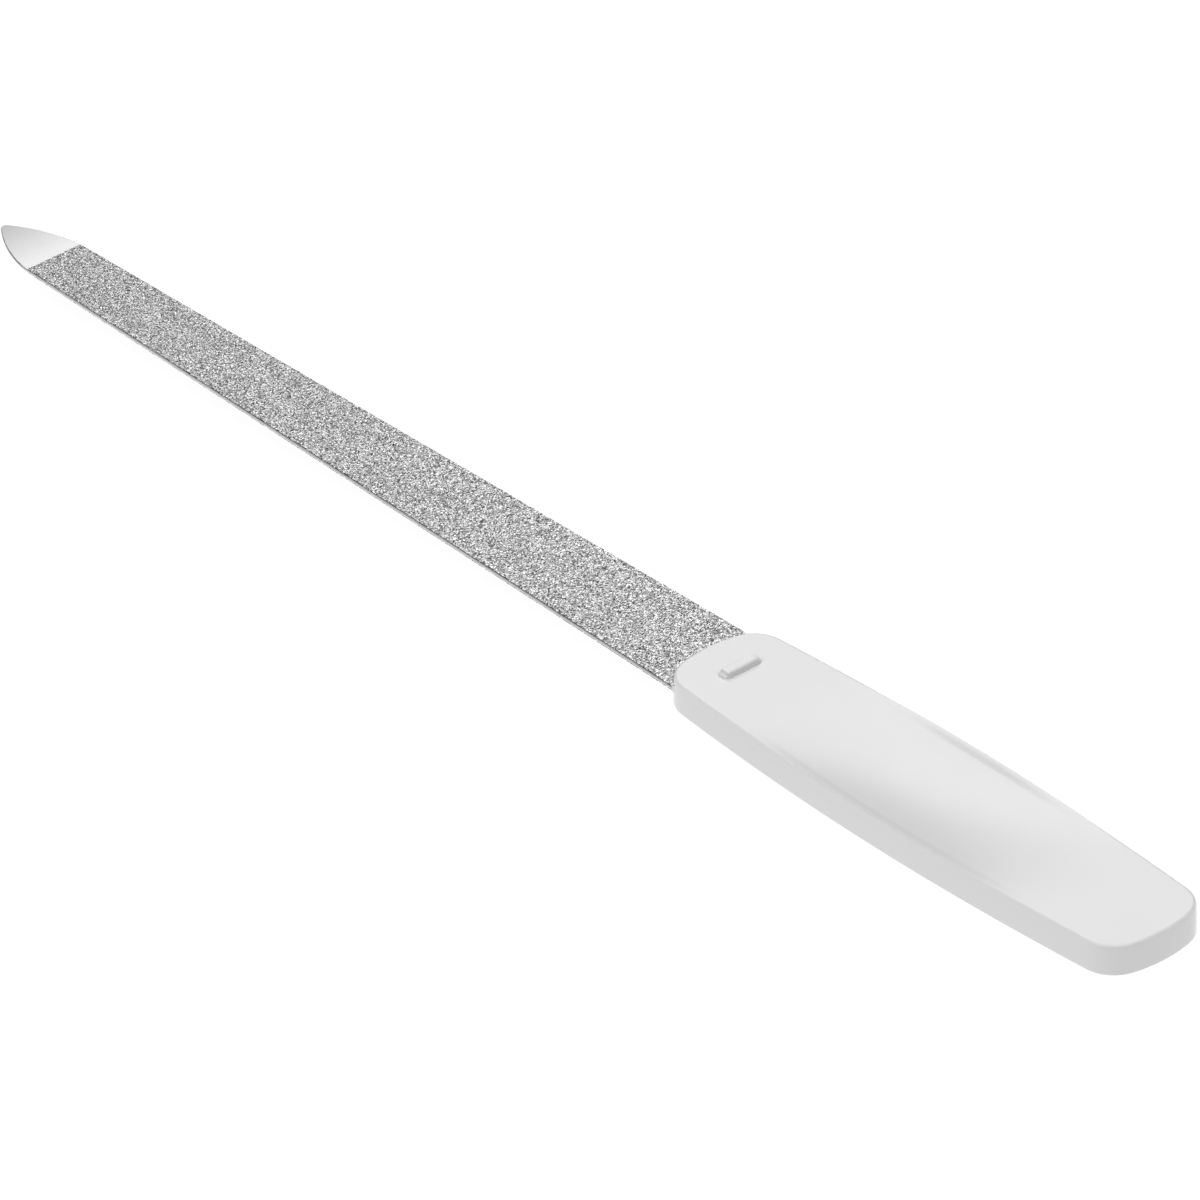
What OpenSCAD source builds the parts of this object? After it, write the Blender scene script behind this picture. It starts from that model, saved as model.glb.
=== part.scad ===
// Nail file: a steel strip with an abrasive coat on both faces and a moulded handle.
// The strip tapers to a bare, rounded point; its tang is locked inside the handle.
// x runs from the point to the handle, y across, z up from the handle's flat underside.

/* [Overall] */
// Whole length, from the point to the end of the handle
total_len = 200; // [196:1:204]
// Height of the strip's middle plane above the handle's underside
blade_z = 2.46; // [2.4:0.02:2.8]

/* [Steel strip] */
// Thickness of the bare steel
steel_t = 0.36; // [0.3:0.02:0.4]
// Width of the strip where the abrasive starts
tip_w = 8.08; // [7.6:0.02:8.6]
// Width of the strip where it enters the handle
root_w = 13.2; // [12:0.1:13.4]
// Radius of the curves that close the strip to its point
curve_r = 19.2; // [18:0.2:21]
// Angle at which those curves leave the strip's edges, from the length
curve_turn = 6; // [4:0.5:7]
// Radius of the blunted point
point_r = 0.6; // [0.5:0.05:1]

/* [Abrasive] */
// Thickness of the abrasive coat on each face
grit_t = 0.1; // [0.05:0.01:0.15]
// Bare steel left along each long edge
edge_land = 0.08; // [0.05:0.01:0.3]

/* [Tang] */
// Length of full-width strip held inside the handle
blade_in = 6; // [5:0.5:8]
// Width of the tang
tang_w = 8; // [6:0.5:9]
// Length of the tang behind its shoulders
tang_len = 50; // [42:1:56]
// Diameter of the two holes that the plastic flows through
lock_hole_d = 3; // [2:0.5:4]
// Distance from the shoulders to the first hole
lock_hole_x = 10; // [8:1:14]
// Distance between the two holes
lock_hole_pitch = 24; // [18:1:26]

/* [Handle] */
// Length of the handle
handle_len = 75.3; // [72.3:1:78.3]
// Width of the handle at its middle
handle_w = 17.4; // [16.8:0.1:18.5]
// Height of the upper face above the flat underside, at the blade end
handle_t = 4.08; // [3.9:0.02:4.3]
// Height of the upper face at the rear end
tail_t = 3.84; // [3.6:0.02:4]
// Radius of the long bowed sides
side_r = 450; // [420:10:600]
// Radius of the bowed ends
end_r = 17.5; // [15:0.5:20]
// Radius of the corners in plan
corner_r = 4.4; // [3.8:0.2:5.4]
// How far each side leans in over the handle's height at the blade end
side_lean = 0.22; // [0:0.02:0.3]
// Radius of the upper edge
edge_r = 0.4; // [0.2:0.05:0.6]
// Radius of the lower edge
foot_r = 0.12; // [0.1:0.02:0.3]
// Rise of the underside at the blade end of the handle
nose_lift = 0.6; // [0:0.05:0.7]
// Length over which the underside rises
nose_run = 52; // [30:1:54]

/* [Thumb dish] */
// Distance from the handle's front to the middle of the dish
dish_x = 38.4; // [35:0.2:40]
// Half the length over which the dish fades out
dish_half = 26.6; // [22:0.2:30]
// Depth of the dish below the upper face
dish_depth = 0.8; // [0.3:0.02:0.94]
// Rise of the side lips above the upper face
lip_rise = 0.04; // [0:0.02:0.2]
// Distance from each side at which the dish's slope steepens
lip_in = 1.4; // [1:0.05:2]
// Distance from each side at which it eases off again
lip_out = 0.65; // [0.4:0.05:0.9]
// Extra slope between those two
lip_steep = 0.12; // [0:0.01:0.15]
// Distance over which the slope changes
lip_ease = 0.15; // [0.1:0.05:0.5]
// Angle that the upper edge's rounding turns through before it meets a lip's crest
lip_turn = 40; // [30:5:70]

/* [Bar] */
// Distance from the handle's front to the middle of the raised bar
bar_x = 5.9; // [5:0.1:7]
// Length of the bar across the handle
bar_len = 5.6; // [4:0.1:8]
// Width of the bar
bar_w = 1.8; // [1.6:0.1:2.4]
// Height of the bar above the handle's face
bar_h = 0.68; // [0.4:0.02:0.8]
// Radius of the bar's corners
bar_corner_r = 0.7; // [0.2:0.05:0.7]

/* [Hidden] */
$fn = 48;

// the blunted point fixes how long the bare steel is
bare_len = sqrt(pow(curve_r - point_r, 2) - pow(curve_r*cos(curve_turn) - tip_w/2, 2))
    + point_r - curve_r*sin(curve_turn);
handle_x0 = total_len - handle_len;
handle_mid = total_len - handle_len/2;
dish_mid = handle_x0 + dish_x;
shoulder_x = handle_x0 + blade_in;
tang_end = shoulder_x + tang_len;
taper = atan((root_w - tip_w)/2/(handle_x0 - bare_len));

// half width of the strip at distance x from the point
function strip_half(x) = tip_w/2 + (x - bare_len)*tan(taper);

function arc(c, r, a0, a1, n) =
    [for (i = [0:n]) let (a = a0 + (a1 - a0)*i/n) [c[0] + r*cos(a), c[1] + r*sin(a)]];

function angle_to(from, to) = atan2(to[1] - from[1], to[0] - from[0]);

// the crossing of two circles that lies to the left of the line from c1 to c2
function circles_meet(c1, r1, c2, r2) =
    let (d = norm(c2 - c1), e = (c2 - c1)/d)
    let (a = (r1*r1 - r2*r2 + d*d)/(2*d), h = sqrt(r1*r1 - a*a))
    c1 + a*e + h*[-e[1], e[0]];

// ---- outline of the strip ----

curve_c = [bare_len + curve_r*sin(curve_turn), tip_w/2 - curve_r*cos(curve_turn)];
point_c = [point_r, 0];
point_a = angle_to(curve_c, point_c);
flip_y = [[1, 0], [0, -1]];

// one edge's curve and half of the blunted point
half_point = concat(
    arc(curve_c, curve_r, 90 + curve_turn, point_a, 14),
    arc(point_c, point_r, point_a, 180, 5));
point_outline = concat(half_point, [for (i = [len(half_point) - 2:-1:0]) flip_y*half_point[i]]);

module strip_face() {
    polygon(concat(point_outline,
        [[shoulder_x, -strip_half(shoulder_x)], [shoulder_x, strip_half(shoulder_x)]]));
}

module tang_face() {
    difference() {
        union() {
            translate([shoulder_x - blade_in/2, -tang_w/2])
                square([tang_len + blade_in/2 - tang_w/2, tang_w]);
            translate([tang_end - tang_w/2, 0]) circle(d = tang_w);
        }
        for (i = [0, 1])
            translate([shoulder_x + lock_hole_x + i*lock_hole_pitch, 0]) circle(d = lock_hole_d);
    }
}

module grit_face() {
    polygon([for (p = [[bare_len, 1], [bare_len, -1], [shoulder_x, -1], [shoulder_x, 1]])
        [p[0], p[1]*(strip_half(p[0]) - edge_land)]]);
}

// ---- outline of the handle: one quarter, then mirrored twice ----

end_c = [handle_len/2 - end_r, 0];
side_c = [0, handle_w/2 - side_r];
corner_c = circles_meet(end_c, end_r - corner_r, side_c, side_r - corner_r);
END_N = 4;
CORNER_N = 7;
SIDE_N = 22;

// each entry is [angle of the outward normal, x, y], from the end's middle to the side's middle
function on_arc(c, r, a0, a1, n, first) =
    [for (i = [first:n]) let (a = a0 + (a1 - a0)*i/n) [a, c[0] + r*cos(a), c[1] + r*sin(a)]];
corner_a0 = angle_to(end_c, corner_c);
corner_a1 = angle_to(side_c, corner_c);
quarter = concat(
    on_arc(end_c, end_r, 0, corner_a0, END_N, 0),
    on_arc(corner_c, corner_r, corner_a0, corner_a1, CORNER_N, 1),
    on_arc(side_c, side_r, corner_a1, 90, SIDE_N, 1));
Q = len(quarter) - 1;
RING = 4*Q;

// entry i of the whole outline, counter-clockwise from the middle of the rear end
function rim(i) =
    let (k = i % (2*Q), q = quarter[k <= Q ? k : 2*Q - k])
    let (half = k <= Q ? q : [180 - q[0], -q[1], q[2]])
    i < 2*Q ? half : [half[0] + 180, -half[1], -half[2]];

// ---- upper face of the handle, in the handle's own x ----

function fade(x) =
    let (u = (x + handle_mid - dish_mid)/dish_half) abs(u) < 1 ? pow(cos(90*u), 2) : 0;
function side_half(x) = side_c[1] + sqrt(side_r*side_r - x*x);
function smooth(t) = let (u = max(0, min(1, t))) u*u*(3 - 2*u);
function top_z(x) = handle_t + (tail_t - handle_t)*(x/handle_len + 0.5);

// the upper edge's rounding stops short on the lips, which leaves a crisp crest there
function edge_turn(x) = 90 - (90 - lip_turn)*smooth(1.5*fade(x));
function crest_in(x) = edge_r*(1 - cos(edge_turn(x)));

// height gained between lip_in and lip_out, at distance e from the side
function ramp(d) = let (u = max(0, d)) lip_steep*(sqrt(u*u + lip_ease*lip_ease) - lip_ease);
function lip(e) = ramp(lip_in - e) - ramp(lip_out - e);
function face_z(x, y) =
    let (crest_y = side_half(x) - crest_in(x), out = min(crest_y, abs(y)), v = out/crest_y)
    let (bowl = dish_depth + lip_rise - lip(crest_in(x)))
    top_z(x) + fade(x)*(lip(side_half(x) - out) + bowl*v*v - dish_depth);

// towards the blade end the underside rises and the sides lean in
function nose(x) = pow(max(0, 1 - (x + handle_len/2)/nose_run), 2);
function nose_z(x) = nose_lift*nose(x);
function lean(x, z) = 1 - side_lean/(handle_w/2)*nose(x)*z/handle_t;

function inset(q, d) = [q[1] - d*cos(q[0]), q[2] - d*sin(q[0])];

// a ring on the rounded lower edge, and one on the rounded upper edge, s of the way up each
function low_ring(s) =
    [for (i = [0:RING - 1]) let (p = inset(rim(i), foot_r*(1 - sin(90*s))))
        [p[0], p[1], nose_z(p[0]) + foot_r*(1 - cos(90*s))]];
function high_ring(s) =
    [for (i = [0:RING - 1]) let (q = rim(i), turn = edge_turn(q[1]), p = inset(q, edge_r*(1 - cos(s*turn))))
        let (crest = inset(q, crest_in(q[1])))
        [p[0], p[1], face_z(crest[0], crest[1]) + edge_r*(sin(s*turn) - sin(turn))]];

// a ring on the upper face, s of the way out from the handle's centre line
core_half = handle_len/2 - handle_w/2;
function face_ring(s) =
    [for (i = [0:RING - 1]) let (q = rim(i), p = inset(q, crest_in(q[1])))
        let (cx = max(-core_half, min(core_half, p[0])), x = cx + s*(p[0] - cx), y = s*p[1])
        [x, y, face_z(x, y)]];

rings = concat(
    [for (s = [0, 1]) low_ring(s)],
    [for (s = [0, 0.33, 0.67, 1]) high_ring(s)],
    [for (s = [0.97, 0.94, 0.89, 0.85, 0.77, 0.64, 0.47, 0.27, 0.06]) face_ring(s)]);
LAST = (len(rings) - 1)*RING;

module handle_body() {
    points = [for (ring = rings, p = ring) [p[0], p[1]*lean(p[0], p[2]), p[2]]];
    walls = [for (l = [0:len(rings) - 2], i = [0:RING - 1]) let (j = (i + 1) % RING)
        [l*RING + i, (l + 1)*RING + i, (l + 1)*RING + j, l*RING + j]];
    over = [for (i = [1:2*Q - 2]) LAST*[1, 1, 1, 1] + [RING - i, RING - i - 1, i + 1, i]];
    under = [for (i = [1:2*Q - 2]) [i, i + 1, RING - i - 1, RING - i]];
    ends = [[LAST + RING - 1, LAST + 1, LAST], [LAST + 2*Q + 1, LAST + 2*Q, LAST + 2*Q - 1],
        [0, 1, RING - 1], [2*Q - 1, 2*Q, 2*Q + 1]];
    translate([handle_mid, 0, 0])
        polyhedron(points, concat(under, walls, over, ends), convexity = 4);
}

module bar() {
    translate([handle_x0 + bar_x, 0, tail_t])
        linear_extrude(handle_t - tail_t + bar_h) {
            square([bar_w, bar_len - 2*bar_corner_r], center = true);
            square([bar_w - 2*bar_corner_r, bar_len], center = true);
            for (i = [-1, 1], j = [-1, 1])
                translate([i*(bar_w/2 - bar_corner_r), j*(bar_len/2 - bar_corner_r)])
                    circle(r = bar_corner_r);
        }
}

// ---- the four pieces ----

module layer(z, t) {
    translate([-total_len/2, 0, z]) linear_extrude(t) children();
}

module blade() {
    color("silver") layer(blade_z - steel_t/2, steel_t) {
        strip_face();
        tang_face();
    }
}

module grit_top() {
    color("darkgray") layer(blade_z + steel_t/2, grit_t) grit_face();
}

module grit_bottom() {
    color("darkgray") layer(blade_z - steel_t/2 - grit_t, grit_t) grit_face();
}

module handle() {
    color("whitesmoke") difference() {
        translate([-total_len/2, 0, 0]) {
            handle_body();
            bar();
        }
        blade();
        grit_top();
        grit_bottom();
    }
}

blade();
grit_top();
grit_bottom();
handle();
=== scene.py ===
"""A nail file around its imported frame: a steel strip, grit on both faces and a moulded handle."""

from math import atan2, cos, pi, radians, sin, sqrt

import bmesh
import bpy
import numpy as np
from mathutils import Matrix, Vector
from mathutils.geometry import delaunay_2d_cdt


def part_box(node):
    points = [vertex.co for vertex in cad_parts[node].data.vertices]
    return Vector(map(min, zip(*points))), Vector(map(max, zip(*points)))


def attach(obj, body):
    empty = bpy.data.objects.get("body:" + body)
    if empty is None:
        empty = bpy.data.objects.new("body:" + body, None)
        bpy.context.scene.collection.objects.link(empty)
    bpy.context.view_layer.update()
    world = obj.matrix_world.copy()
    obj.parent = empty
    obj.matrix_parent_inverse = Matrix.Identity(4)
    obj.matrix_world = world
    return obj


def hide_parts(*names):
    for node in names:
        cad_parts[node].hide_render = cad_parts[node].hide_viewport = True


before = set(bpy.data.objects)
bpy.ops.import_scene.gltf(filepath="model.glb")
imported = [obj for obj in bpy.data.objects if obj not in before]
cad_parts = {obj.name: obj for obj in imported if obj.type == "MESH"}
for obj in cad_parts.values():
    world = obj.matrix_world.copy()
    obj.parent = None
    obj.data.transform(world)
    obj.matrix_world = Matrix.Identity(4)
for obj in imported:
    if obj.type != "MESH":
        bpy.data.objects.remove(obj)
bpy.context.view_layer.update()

# ---- sizes, in millimetres of the frame -------------------------------------------------

MM = 0.001


def box_mm(node):
    """Lowest and highest corner of a CAD node, in millimetres."""
    return [np.array(corner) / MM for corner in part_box(node)]


blade_lo, blade_hi = box_mm("blade")
grit_lo, grit_hi = box_mm("grit_top")
under_lo, under_hi = box_mm("grit_bottom")
handle_lo, handle_hi = box_mm("handle")

# steel strip
STEEL_TOP, STEEL_BOTTOM = blade_hi[2], blade_lo[2]
STEEL_EDGE_R = 0.07
POINT_X = blade_lo[0]
GRIT_X0 = grit_lo[0]
SHOULDER_X = grit_hi[0]
TANG_END = blade_hi[0]
TIP_HALF = 4.04
ROOT_HALF = blade_hi[1]
CURVE_R = 19.2
CURVE_TURN = radians(6)
POINT_R = 0.6
TANG_HALF = 4.0
LOCK_HOLE_R = 1.5
LOCK_HOLE_XS = (10.0, 34.0)

# abrasive coat
EDGE_LAND = 0.08
GRAIN = 0.14
GRAIN_HIGH = 0.12
GRAIN_LOW_SHARE = 0.15
GRAIN_JITTER = 0.3
BOND_T = 0.03

# handle, in its own x, which is 0 at its middle
HANDLE_L = handle_hi[0] - handle_lo[0]
HANDLE_W = handle_hi[1] - handle_lo[1]
HANDLE_MID = (handle_hi[0] + handle_lo[0]) / 2
BAR_H = 0.68
HANDLE_T = handle_hi[2] - BAR_H
TAIL_T = 3.84
SIDE_R = 450.0
END_R = 17.5
CORNER_R = 4.4
SIDE_LEAN = 0.22
EDGE_R = 0.4
FOOT_R = 0.12
NOSE_LIFT = 0.6
NOSE_RUN = 52.0
SLOT_GAP = 0.05
SLOT_DEEP = 2.0

# thumb dish and the lips beside it
DISH_MID = 38.4 - HANDLE_L / 2
DISH_HALF = 26.6
DISH_DEPTH = 0.8
LIP_RISE = 0.04
LIP_IN = 1.4
LIP_OUT = 0.65
LIP_STEEP = 0.12
LIP_EASE = 0.15
LIP_TURN = radians(40)

# bar moulded on the handle
BAR_X = 5.9 - HANDLE_L / 2
BAR_LEN = 5.6
BAR_W = 1.8
BAR_CORNER_R = 0.7
BAR_ROOT_R = 0.06
BAR_SIDE_ROOT_R = 0.2
BAR_FRONT_R = 0.12
BAR_REAR_R = 0.3
BAR_LEAN = 0.14
BAR_FRONT_LEAN = 0.3
BAR_END_LEAN = 0.22

# width of the flat band that keeps each rounded edge's shading off the face beside it
HOLD = 0.03

# rings of the handle's face, as shares of the way out to its edge, and grid steps inside them
FACE_RINGS = (0.995, *np.linspace(0.985, 0.8, 13), 0.75, 0.7)
FACE_STEPS = (0.7, 0.45)
UNDERSIDE_STEPS = (1.2, 1.5)


# ---- outlines ---------------------------------------------------------------------------

def arc(centre, radius, start, end, steps):
    """Points on an arc, both ends included."""
    a = np.linspace(start, end, steps + 1)
    return np.c_[centre[0] + radius * np.cos(a), centre[1] + radius * np.sin(a)]


def angle_to(start, end):
    """Direction from one point to another."""
    return atan2(end[1] - start[1], end[0] - start[0])


def circles_meet(c1, r1, c2, r2):
    """The crossing of two circles that lies to the left of the line from c1 to c2."""
    c1, c2 = np.array(c1), np.array(c2)
    d = np.linalg.norm(c2 - c1)
    e = (c2 - c1) / d
    a = (r1 * r1 - r2 * r2 + d * d) / (2 * d)
    h = sqrt(r1 * r1 - a * a)
    return c1 + a * e + h * np.array([-e[1], e[0]])


def inset(loop, d):
    """A closed outline moved to its left by d, which is inwards where it runs anticlockwise."""
    edge = np.roll(loop, -1, 0) - loop
    left = np.c_[-edge[:, 1], edge[:, 0]] / np.linalg.norm(edge, axis=1)[:, None]
    both = left + np.roll(left, 1, 0)
    both /= np.linalg.norm(both, axis=1)[:, None]
    return loop + d * both / (both * left).sum(1)[:, None]


STRIP_TAPER = (ROOT_HALF - TIP_HALF) / (SHOULDER_X - GRIT_X0)


def strip_half(x):
    """Half width of the strip."""
    return TIP_HALF + (x - GRIT_X0) * STRIP_TAPER


def strip_outline():
    """The strip and its tang, anticlockwise from the upper end of the point's curve."""
    curve_c = (GRIT_X0 + CURVE_R * sin(CURVE_TURN), TIP_HALF - CURVE_R * cos(CURVE_TURN))
    point_c = (POINT_X + POINT_R, 0)
    a = angle_to(curve_c, point_c)
    half = np.r_[
        arc(curve_c, CURVE_R, pi / 2 + CURVE_TURN, a, 40)[:-1],
        arc(point_c, POINT_R, a, pi, 10)]
    tip = np.r_[half, half[-2::-1] * [1, -1]]
    edge_x = np.linspace(GRIT_X0, SHOULDER_X, 60)[1:]
    near = np.c_[edge_x, -strip_half(edge_x)]
    round_c = TANG_END - TANG_HALF
    tang = np.r_[
        [[SHOULDER_X, -TANG_HALF]],
        arc((round_c, 0), TANG_HALF, -pi / 2, pi / 2, 24),
        [[SHOULDER_X, TANG_HALF]]]
    return np.r_[tip, near, tang, near[::-1] * [1, -1]]


def handle_quarter():
    """One quarter of the handle's outline from the end's middle: outward angle, x, y."""
    end_c = (HANDLE_L / 2 - END_R, 0)
    side_c = (0, HANDLE_W / 2 - SIDE_R)
    corner_c = circles_meet(end_c, END_R - CORNER_R, side_c, SIDE_R - CORNER_R)
    a0, a1 = angle_to(end_c, corner_c), angle_to(side_c, corner_c)
    slot_half = (strip_half(handle_lo[0]) + SLOT_GAP) / lean(-HANDLE_L / 2, grit_hi[2])
    a_slot = np.arcsin((slot_half - corner_c[1]) / CORNER_R)
    rows = []
    for centre, radius, start, end, steps in (
            (end_c, END_R, 0, a0, 12),
            (corner_c, CORNER_R, a0, a_slot, 5),
            (corner_c, CORNER_R, a_slot, a1, 12),
            (side_c, SIDE_R, a1, pi / 2, 70)):
        angles = np.linspace(start, end, steps + 1)[bool(rows):]
        rows += [(t, centre[0] + radius * cos(t), centre[1] + radius * sin(t)) for t in angles]
    return np.array(rows), 12 + 5


# ---- the handle's faces -----------------------------------------------------------------

def fade(x):
    """How much of the thumb dish there is at x, from 0 to 1."""
    u = np.clip((x - DISH_MID) / DISH_HALF, -1, 1)
    return np.cos(u * pi / 2) ** 2


def side_half(x):
    """Half width of the handle between its corners."""
    return HANDLE_W / 2 - SIDE_R + np.sqrt(SIDE_R ** 2 - x ** 2)


def smooth(t):
    """An eased step from 0 to 1."""
    t = np.clip(t, 0, 1)
    return t * t * (3 - 2 * t)


def top_z(x):
    """Height of the face before the thumb dish, which falls towards the tail."""
    return HANDLE_T + (TAIL_T - HANDLE_T) * (x / HANDLE_L + 0.5)


def edge_turn(x):
    """How far round the upper edge goes: a quarter turn, but less on the lips, which are crisp."""
    return pi / 2 - (pi / 2 - LIP_TURN) * smooth(1.5 * fade(x))


def crest_in(x):
    """How far in from the side the rounded upper edge meets the face."""
    return EDGE_R * (1 - np.cos(edge_turn(x)))


def slope(d):
    """Height of a steady slope that eases in at its start, at distance d from there."""
    return LIP_STEEP * (np.sqrt(np.clip(d, 0, None) ** 2 + LIP_EASE ** 2) - LIP_EASE)


def lip(e):
    """Height gained in a lip's steeper strip, at distance e from the side."""
    return slope(LIP_IN - e) - slope(LIP_OUT - e)


def face_z(x, y):
    """Height of the handle's upper face."""
    crest_y = side_half(x) - crest_in(x)
    out = np.clip(abs(y), 0, crest_y)
    bowl = DISH_DEPTH + LIP_RISE - lip(crest_in(x))
    return top_z(x) + fade(x) * (lip(side_half(x) - out) + bowl * (out / crest_y) ** 2 - DISH_DEPTH)


def nose(x):
    """How much of the nose's shape there is at x, from 1 at the blade end to 0."""
    return np.clip(1 - (x + HANDLE_L / 2) / NOSE_RUN, 0, None) ** 2


def nose_z(x):
    """Height of the underside, which rises towards the blade end."""
    return NOSE_LIFT * nose(x)


def lean(x, z):
    """Share of the width left at height z, as the sides lean in towards the blade end."""
    return 1 - SIDE_LEAN / (HANDLE_W / 2) * nose(x) * z / HANDLE_T


# ---- mesh building ----------------------------------------------------------------------

def add_ring(bm, points):
    """Loose vertices at the points, in order."""
    return [bm.verts.new(p) for p in points]


def skin(bm, lower, upper, skip=()):
    """Quads between two closed rings, apart from the columns in skip."""
    n = len(lower)
    for i in range(n):
        j = (i + 1) % n
        if i not in skip:
            bm.faces.new((lower[i], lower[j], upper[j], upper[i]))


def fill(bm, rings, height, grid=(), facing=1):
    """Triangles between closed rings, the first of them outermost, through the loose grid points."""
    flat = [Vector((v.co.x, v.co.y)) for ring in rings for v in ring]
    verts = [v for ring in rings for v in ring]
    edges, start = [], 0
    for ring in rings:
        n = len(ring)
        edges += [(start + i, start + (i + 1) % n) for i in range(n)]
        start += n
    for x, y in grid:
        flat.append(Vector((x, y)))
        verts.append(bm.verts.new((x, y, height(x, y))))
    found = delaunay_2d_cdt(flat, edges, [], 1, 1e-7)
    points, tris, source = found[0], found[2], found[3]
    holes = [np.array([(v.co.x, v.co.y) for v in ring]) for ring in rings[1:]]
    for tri in tris:
        centre = sum((points[i] for i in tri), Vector((0, 0))) / 3
        if any(inside(hole, *centre) for hole in holes):
            continue
        corners = [verts[source[i][0]] for i in tri]
        bm.faces.new(corners if facing > 0 else corners[::-1])


def inside(loop, x, y):
    """Whether a point lies inside a closed outline."""
    a, b = loop, np.roll(loop, -1, 0)
    crosses = (a[:, 1] > y) != (b[:, 1] > y)
    with np.errstate(divide="ignore", invalid="ignore"):
        at = a[:, 0] + (y - a[:, 1]) * (b[:, 0] - a[:, 0]) / (b[:, 1] - a[:, 1])
    return bool((crosses & (x < at)).sum() % 2)


def finish_mesh(bm, name, material, smooth_angle=None):
    """The mesh as an object of that name, in metres, with smooth faces up to an angle."""
    bmesh.ops.recalc_face_normals(bm, faces=bm.faces)
    mesh = bpy.data.meshes.new(name)
    bm.to_mesh(mesh)
    bm.free()
    mesh.transform(Matrix.Scale(MM, 4))
    if smooth_angle is not None:
        mesh.shade_smooth()
        mesh.set_sharp_from_angle(angle=smooth_angle)
    mesh.materials.append(material)
    obj = bpy.data.objects.new(name, mesh)
    bpy.context.scene.collection.objects.link(obj)
    return obj


def edge_profile(radius, z0, z1, steps):
    """(height, inset) pairs up a wall with rounded edges and a flat band beyond each of them."""
    turn = np.linspace(0, pi / 2, steps + 1)
    low = [(z0 + radius * (1 - cos(t)), radius * (1 - sin(t))) for t in turn]
    high = [(z1 - radius * (1 - sin(t)), radius * (1 - cos(t))) for t in turn]
    return [(z0, radius + HOLD), *low, *high, (z1, radius + HOLD)]


def make_blade(material):
    """The steel strip with rounded edges, its tang and the tang's two holes."""
    bm = bmesh.new()
    holes = [arc((SHOULDER_X + x, 0), LOCK_HOLE_R, 0, -2 * pi, 32)[:-1] for x in LOCK_HOLE_XS]
    lows, highs = [], []
    for loop in (strip_outline(), *holes):
        rings = [add_ring(bm, np.c_[inset(loop, d), np.full(len(loop), z)])
                 for z, d in edge_profile(STEEL_EDGE_R, STEEL_BOTTOM, STEEL_TOP, 4)]
        for lower, upper in zip(rings, rings[1:]):
            skin(bm, lower, upper)
        lows.append(rings[0])
        highs.append(rings[-1])
    fill(bm, lows, None, facing=-1)
    fill(bm, highs, None)
    return finish_mesh(bm, "steel_blade", material, radians(50))


def make_grit(name, base_z, up, seed, material):
    """A coat of crystals bonded to one face, as a sheet of facets on a jittered lattice.

    The crystals stand higher towards the handle, where the coat is worn less.
    """
    rng = np.random.default_rng(seed)
    bm = bmesh.new()
    shade = bm.faces.layers.float.new("grain")
    columns = round((SHOULDER_X - GRIT_X0) / (GRAIN * sqrt(3) / 2))
    rows = round(2 * strip_half((GRIT_X0 + SHOULDER_X) / 2) / GRAIN)
    lattice = []
    for i in range(columns + 1):
        x = GRIT_X0 + (SHOULDER_X - GRIT_X0) * i / columns
        half = strip_half(x) - EDGE_LAND
        column = []
        for j in range(rows + 1):
            at_edge = j in (0, rows) or i in (0, columns)
            v = (j + (0.5 if i % 2 and 0 < j < rows else 0)) / rows
            v = min(v, 1)
            jitter = rng.uniform(-GRAIN_JITTER, GRAIN_JITTER, 2) * GRAIN * (0.5 if at_edge else 1)
            high = rng.uniform(GRAIN_LOW_SHARE, 1) ** 0.8 * (0.8 + 0.4 * i / columns)
            px = x + (jitter[0] if 0 < i < columns else abs(jitter[0]))
            py = np.clip(half * (2 * v - 1) + jitter[1], -half, half)
            column.append(bm.verts.new((px, py, base_z + up * (BOND_T + high * GRAIN_HIGH))))
        lattice.append(column)
    for i in range(columns):
        for j in range(rows):
            a, b = lattice[i][j], lattice[i + 1][j]
            c, d = lattice[i + 1][j + 1], lattice[i][j + 1]
            for tri in (((a, b, d), (b, c, d)) if i % 2 else ((a, b, c), (a, c, d))):
                face = bm.faces.new(tri if up > 0 else tri[::-1])
                face[shade] = rng.beta(0.5, 0.45)
    return close_sheet(bm, name, base_z, lattice, material)


def close_sheet(bm, name, base_z, lattice, material):
    """Walls down to the steel and a flat back, so that the coat is a closed solid."""
    around = (
        [column[0] for column in lattice]
        + lattice[-1][1:]
        + [column[-1] for column in lattice[-2::-1]]
        + lattice[0][-2:0:-1])
    foot = add_ring(bm, [(v.co.x, v.co.y, base_z) for v in around])
    skin(bm, foot, around)
    bm.faces.new(foot)
    return finish_mesh(bm, name, material)


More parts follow.
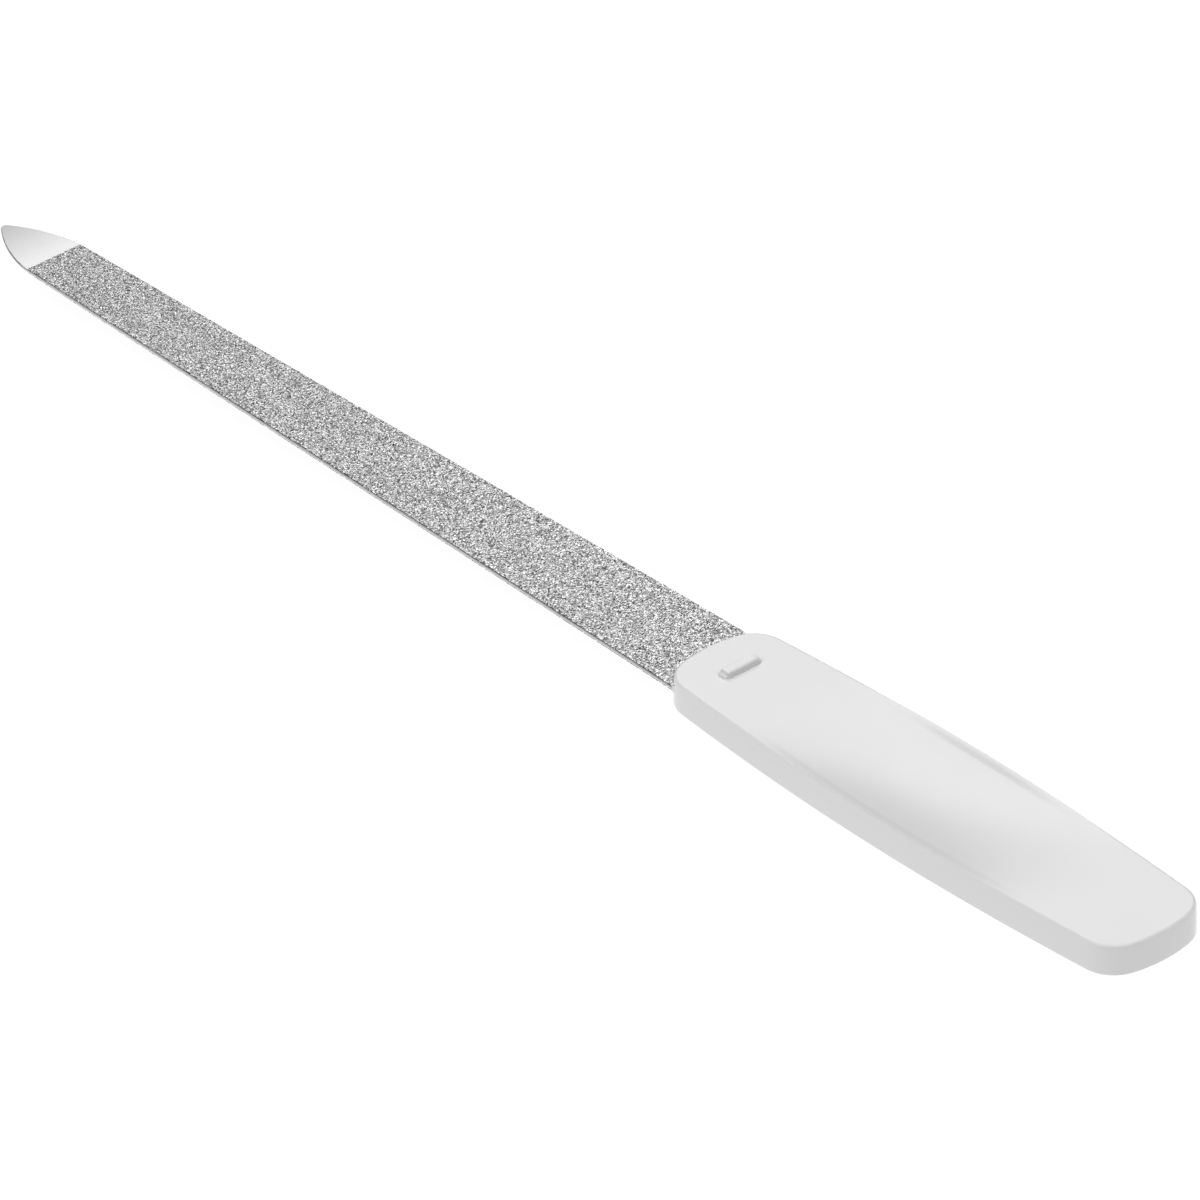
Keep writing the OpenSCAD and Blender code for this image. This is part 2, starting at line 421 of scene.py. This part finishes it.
def make_handle(material):
    """The moulded handle: rounded edges, thumb dish, lips, bar and the slot that the strip enters."""
    quarter, slot_at = handle_quarter()
    q = len(quarter) - 1
    outline = []
    for i in range(4 * q):
        k = i % (2 * q)
        angle, x, y = quarter[k if k <= q else 2 * q - k]
        if k > q:
            angle, x, y = pi - angle, -x, y
        outline.append((angle, x, y) if i < 2 * q else (angle + pi, -x, -y))
    angle, ox, oy = np.array(outline).T
    nx, ny = np.cos(angle), np.sin(angle)
    bm = bmesh.new()

    def moved(d):
        return ox - d * nx, oy - d * ny

    def ring(x, y, z):
        return add_ring(bm, np.c_[x, y, z + 0 * x])

    x, y = moved(FOOT_R + HOLD)
    rings = [ring(x, y, nose_z(x))]
    for t in np.linspace(0, pi / 2, 6):
        x, y = moved(FOOT_R * (1 - sin(t)))
        rings.append(ring(x, y, nose_z(x) + FOOT_R * (1 - cos(t))))
    slot_z = (under_lo[2] - SLOT_GAP, grit_hi[2] + SLOT_GAP)
    slot_ring = len(rings)
    rings += [ring(ox, oy, z) for z in slot_z]
    turn = edge_turn(ox)
    crest_x, crest_y = moved(crest_in(ox))
    crest_z = face_z(crest_x, crest_y)
    for s in np.linspace(0, 1, 9):
        x, y = moved(EDGE_R * (1 - np.cos(s * turn)))
        rings.append(ring(x, y, crest_z + EDGE_R * (np.sin(s * turn) - np.sin(turn))))
    core = HANDLE_L / 2 - HANDLE_W / 2
    cx = np.clip(crest_x, -core, core)
    for s in FACE_RINGS:
        x, y = cx + s * (crest_x - cx), s * crest_y
        rings.append(ring(x, y, face_z(x, y)))

    slot_columns = range(2 * q - slot_at, 2 * q + slot_at)
    for k, (lower, upper) in enumerate(zip(rings, rings[1:])):
        skin(bm, lower, upper, slot_columns if k == slot_ring else ())
    fill_slot(bm, rings[slot_ring], rings[slot_ring + 1], slot_columns)
    inner = rings[-1]
    bar_rings = make_bar_rings(bm)
    fill(bm, [inner, bar_rings[0]], face_z, inner_grid([inner, bar_rings[0]], *FACE_STEPS))
    for lower, upper in zip(bar_rings, bar_rings[1:]):
        skin(bm, lower, upper)
    fill(bm, [bar_rings[-1]], None)
    fill(bm, [rings[0]], lambda x, y: nose_z(x), inner_grid([rings[0]], *UNDERSIDE_STEPS), facing=-1)
    for v in bm.verts:
        v.co.y *= lean(v.co.x, v.co.z)
    bmesh.ops.translate(bm, vec=(HANDLE_MID, 0, 0), verts=bm.verts)
    return finish_mesh(bm, "moulded_handle", material, radians(28))


def fill_slot(bm, low, high, columns):
    """The pocket behind the slot in the front wall: roof, floor, back and two cheeks."""
    spots = [*columns, columns[-1] + 1]
    back_x = -HANDLE_L / 2 + SLOT_DEEP
    floor = [bm.verts.new((back_x, low[i].co.y, low[i].co.z)) for i in spots]
    roof = [bm.verts.new((back_x, high[i].co.y, high[i].co.z)) for i in spots]
    for k, i in enumerate(columns):
        bm.faces.new((low[i], low[i + 1], floor[k + 1], floor[k]))
        bm.faces.new((high[i + 1], high[i], roof[k], roof[k + 1]))
        bm.faces.new((floor[k], floor[k + 1], roof[k + 1], roof[k]))
    for i, k in ((spots[0], 0), (spots[-1], -1)):
        bm.faces.new((low[i], floor[k], roof[k], high[i]))


def make_bar_rings(bm):
    """The bar's rings from its root, up its wall and over its top edge, which is rounder at the rear."""
    across, along = BAR_W / 2 - BAR_CORNER_R, BAR_LEN / 2 - BAR_CORNER_R
    corners = ((across, along), (-across, along), (-across, -along), (across, -along))
    outline, angle = [], []
    for k, (x, y) in enumerate(corners):
        outline.append(arc((BAR_X + x, y), BAR_CORNER_R, k * pi / 2, (k + 1) * pi / 2, 10))
        angle.append(np.linspace(k, k + 1, 11) * pi / 2)
    outline, angle = np.vstack(outline), np.concatenate(angle)
    root_r = BAR_ROOT_R + (BAR_SIDE_ROOT_R - BAR_ROOT_R) * np.sin(angle) ** 2
    top_r = BAR_FRONT_R + (BAR_REAR_R - BAR_FRONT_R) * abs(np.cos(angle / 2))
    turn = np.linspace(0, pi / 2, 9)
    profile = [(root_r * (1 - cos(t)), -root_r * (1 - sin(t))) for t in turn]
    front_lean = (BAR_FRONT_LEAN - BAR_LEAN) * np.sin(angle / 2) ** 4
    top_in = BAR_LEAN + front_lean + BAR_END_LEAN * np.sin(angle) ** 2
    profile += [(BAR_H - top_r * (1 - sin(t)), top_in + top_r * (1 - cos(t))) for t in turn]
    profile.append((BAR_H + 0 * top_r, top_in + top_r + HOLD))
    rings = []
    for z, d in profile:
        loop = inset(outline, d[:, None])
        floor_z = top_z(loop[:, 0]) * (1 - z / BAR_H) + HANDLE_T * z / BAR_H
        rings.append(add_ring(bm, np.c_[loop, floor_z + z]))
    return rings


def inner_grid(rings, step_x, step_y):
    """Grid points inside the first ring and outside the others, clear of all of them."""
    outer, *holes = [np.array([(v.co.x, v.co.y) for v in ring]) for ring in rings]
    edge = np.r_[outer, *holes]
    points = []
    for x in np.arange(outer[:, 0].min(), outer[:, 0].max(), step_x):
        for y in np.arange(-HANDLE_W / 2, HANDLE_W / 2, step_y):
            clear = np.hypot(edge[:, 0] - x, edge[:, 1] - y).min() > step_y * 0.6
            if clear and inside(outer, x, y) and not any(inside(hole, x, y) for hole in holes):
                points.append((x, y))
    return points


# ---- materials --------------------------------------------------------------------------

class Nodes:
    """Short calls that add and join the nodes of one tree."""

    def __init__(self, tree):
        self.tree = tree

    def node(self, kind, inputs=None, **settings):
        """A node with its settings, whose inputs are values or other nodes' outputs."""
        made = self.tree.nodes.new("ShaderNode" + kind)
        for key, value in settings.items():
            setattr(made, key, value)
        for key, value in (inputs or {}).items():
            if isinstance(value, bpy.types.NodeSocket):
                self.tree.links.new(value, made.inputs[key])
            else:
                made.inputs[key].default_value = value
        return made

    def place(self, scale):
        """Object coordinates in millimetres, stretched along each axis by scale."""
        spot = self.node("TexCoord").outputs["Object"]
        return self.node("Mapping", {"Vector": spot, "Scale": [s / MM for s in scale]}).outputs[0]

    def noise(self, scale, detail=3.0, rough=0.5):
        """Noise from 0 to 1 over the object, in cells per millimetre along each axis."""
        return self.node("TexNoise", {
            "Vector": self.place(scale), "Scale": 1.0, "Detail": detail, "Roughness": rough,
        }).outputs["Fac"]

    def ramp(self, value, low, high, to_low, to_high, **settings):
        """value between low and high, as a number between to_low and to_high."""
        return self.node("MapRange", {
            "Value": value, "From Min": low, "From Max": high, "To Min": to_low, "To Max": to_high,
        }, **settings).outputs["Result"]

    def times(self, a, b):
        return self.node("Math", {0: a, 1: b}, operation="MULTIPLY").outputs[0]

    def grey(self, value, tint=(1, 1, 1)):
        """A colour of that brightness."""
        return self.node("CombineColor", {
            name: self.times(value, share) for name, share in zip(("Red", "Green", "Blue"), tint)
        }).outputs[0]


class Shader(Nodes):
    """A material with one Principled shader."""

    def __init__(self, name, **fixed):
        self.material = bpy.data.materials.new(name)
        self.material.use_nodes = True
        super().__init__(self.material.node_tree)
        self.out = self.tree.nodes["Principled BSDF"]
        for socket, value in fixed.items():
            self.out.inputs[socket.replace("_", " ")].default_value = value

    def wire(self, socket, value):
        self.tree.links.new(value, self.out.inputs[socket])

    def bump(self, height, strength, distance):
        """Surface relief of that height in metres."""
        self.wire("Normal", self.node("Bump", {
            "Height": height, "Strength": strength, "Distance": distance}).outputs[0])


def plastic_material():
    """White satin plastic with a very fine moulded texture."""
    s = Shader("white_plastic", IOR=1.5)
    cloud = s.noise((0.05, 0.08, 0.08), 2)
    s.wire("Base Color", s.grey(s.ramp(cloud, 0.3, 0.7, 0.745, 0.755), (1.0, 1.0, 0.998)))
    s.wire("Roughness", s.ramp(s.noise((0.3, 0.4, 0.4), 2), 0.3, 0.7, 0.19, 0.22))
    s.bump(s.noise((6, 6, 2), 2), 0.05, 0.000004)
    return s.material


def steel_material():
    """Polished strip steel with painted shade: the face darker towards the point, and the upper half of
    the sheared edge darker than the lower half.
    """
    s = Shader("strip_steel", Metallic=1.0)
    spot = s.node("TexCoord").outputs["Object"]
    axes = s.node("SeparateXYZ", {0: spot}).outputs
    along = s.ramp(axes["X"], POINT_X * MM, GRIT_X0 * MM, 0.0, 1.0)
    # painted shade: the face's colour darkens towards the point in place of the change in its reflection
    # along the tip
    painted_point_shade = s.ramp(along, 0.0, 0.9, 0.5, 0.79)
    lines = s.ramp(s.noise((0.6, 14, 14), 4), 0.3, 0.7, 0.97, 1.03)
    normal = s.node("NewGeometry").outputs["Normal"]
    upward = s.node("Math", {0: s.node("SeparateXYZ", {0: normal}).outputs["Z"]},
                    operation="ABSOLUTE").outputs[0]
    on_face = s.ramp(upward, 0.3, 0.8, 0.0, 1.0)
    middle = (STEEL_TOP + STEEL_BOTTOM) / 2 * MM
    # painted shade: the upper half of the sheared edge, just under the grit, is darker than the lower
    # half, and the whole edge darker still towards the bare point
    painted_edge_shade = s.ramp(axes["Z"], middle, middle + 0.0001, 0.7, 0.3)
    painted_edge_shade = s.times(painted_edge_shade, s.ramp(along, 0.8, 1.0, 0.45, 1.0))
    edge = s.times(painted_edge_shade, s.ramp(s.noise((4, 4, 12), 3), 0.3, 0.7, 0.85, 1.15))
    face = s.times(painted_point_shade, lines)
    mixed = s.node("Mix", {"Factor": on_face, 2: edge, 3: face}, data_type="FLOAT").outputs[0]
    s.wire("Base Color", s.grey(mixed, (1.0, 1.0, 1.005)))
    s.wire("Roughness", s.ramp(on_face, 0.0, 1.0, 0.5, 0.45))
    s.bump(s.noise((0.8, 20, 20), 3), 0.1, 0.00001)
    return s.material


def grit_material():
    """Crystals held in nickel: each facet has its own brightness."""
    s = Shader("bonded_grit", Metallic=0.6)
    facet = s.node("Attribute", attribute_name="grain", attribute_type="GEOMETRY").outputs["Fac"]
    speck = s.noise((5, 5, 5), 2)
    tone = s.node("Math", {0: s.ramp(facet, 0, 1, 0.03, 1.0), 1: s.ramp(speck, 0.3, 0.7, -0.03, 0.03)},
                  operation="ADD").outputs[0]
    spot = s.node("TexCoord").outputs["Object"]
    along = s.node("SeparateXYZ", {0: spot}).outputs["X"]
    fresh = s.ramp(along, GRIT_X0 * MM, SHOULDER_X * MM, 0.88, 1.06)
    s.wire("Base Color", s.grey(s.ramp(s.times(tone, fresh), 0, 1, 0, 1)))
    s.wire("Roughness", s.ramp(speck, 0.3, 0.7, 0.25, 0.45))
    return s.material


# ---- the stage --------------------------------------------------------------------------

FLOOR_HALF = 8.0
FLOOR_GLOW = 0.93

# depth of the floor below the file, so that its underside and the floor share no plane
FLOOR_DROP = 0.05 * MM


def make_floor():
    """A pale lit floor under the file, clear from below so that the underside can be seen."""
    mesh = bpy.data.meshes.new("floor")
    signs = ((-1, -1), (1, -1), (1, 1), (-1, 1))
    corners = [(x * FLOOR_HALF, y * FLOOR_HALF, -FLOOR_DROP) for x, y in signs]
    mesh.from_pydata(corners, [], [(0, 1, 2, 3)])
    s = Shader("pale_floor", Roughness=0.9)
    s.out.inputs["Base Color"].default_value = (0.1, 0.1, 0.1, 1)
    s.out.inputs["Emission Color"].default_value = (1, 1, 1, 1)
    s.out.inputs["Emission Strength"].default_value = FLOOR_GLOW
    clear = s.node("BsdfTransparent").outputs[0]
    behind = s.node("NewGeometry").outputs["Backfacing"]
    both = s.node("MixShader", {0: behind, 1: s.out.outputs[0], 2: clear}).outputs[0]
    s.tree.links.new(both, s.tree.nodes["Material Output"].inputs["Surface"])
    mesh.materials.append(s.material)
    floor = bpy.data.objects.new("floor", mesh)
    bpy.context.scene.collection.objects.link(floor)


# soft lights of the studio: angle from +X and height, inner and outer half width, all in degrees,
# and radiance
SOFT_LIGHTS = (
    (142, 42, 4, 16, 2.9),
    (40, 35, 10, 60, 0.42),
    (250, 10, 10, 60, 0.84),
    (0, 89, 5, 40, 2.4),
)
ROOM = 0.1


def make_light():
    """A pale room whose walls carry a few large soft lights."""
    world = bpy.data.worlds.new("studio")
    world.use_nodes = True
    bpy.context.scene.world = world
    s = Nodes(world.node_tree)
    ray = s.node("TexCoord").outputs["Generated"]
    total = ROOM
    for angle, height, inner, outer, radiance in SOFT_LIGHTS:
        a, e = radians(angle), radians(height)
        centre = (cos(a) * cos(e), sin(a) * cos(e), sin(e))
        near = s.node("VectorMath", {0: ray, 1: centre}, operation="DOT_PRODUCT").outputs["Value"]
        glow = s.ramp(near, cos(radians(outer)), cos(radians(inner)), 0.0, radiance,
                      interpolation_type="SMOOTHSTEP")
        total = s.node("Math", {0: glow, 1: total}, operation="ADD").outputs[0]
    background = s.tree.nodes["Background"]
    s.tree.links.new(total, background.inputs["Strength"])
    background.inputs["Color"].default_value = (1, 1, 1, 1)


CAMERA_AZIMUTH = 50.0187
CAMERA_ELEVATION = 33.4796
CAMERA_ROLL = -1.7433
CAMERA_DISTANCE = 1.5713
CAMERA_AIM = (7.78, -0.85, 2.5)
CAMERA_LENS = 420.0


def make_camera():
    """A long lens above the file's near side."""
    a, e, roll = (radians(v) for v in (CAMERA_AZIMUTH, CAMERA_ELEVATION, CAMERA_ROLL))
    back = Vector((sin(a) * cos(e), -cos(a) * cos(e), sin(e)))
    right = Vector((cos(a), sin(a), 0))
    up = back.cross(right)
    axes = Matrix((cos(roll) * right + sin(roll) * up, cos(roll) * up - sin(roll) * right, back))
    data = bpy.data.cameras.new("camera")
    data.lens = CAMERA_LENS
    data.sensor_width = 36.0
    camera = bpy.data.objects.new("camera", data)
    place = axes.transposed().to_4x4()
    place.translation = Vector(CAMERA_AIM) * MM + back * CAMERA_DISTANCE
    camera.matrix_world = place
    bpy.context.scene.collection.objects.link(camera)
    bpy.context.scene.camera = camera


# ---- the scene --------------------------------------------------------------------------

make_camera()
make_floor()
make_light()
bpy.context.scene.view_settings.view_transform = "Standard"

blade = make_blade(steel_material())
grit_stuff = grit_material()
top = make_grit("grit_coat_top", STEEL_TOP, 1, 11, grit_stuff)
bottom = make_grit("grit_coat_bottom", STEEL_BOTTOM, -1, 12, grit_stuff)
handle = make_handle(plastic_material())

for piece, node, slot in (
        (blade, "blade", "steel"),
        (top, "grit_top", "grit"),
        (bottom, "grit_bottom", "grit"),
        (handle, "handle", "plastic")):
    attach(piece, "root")
    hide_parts(node)
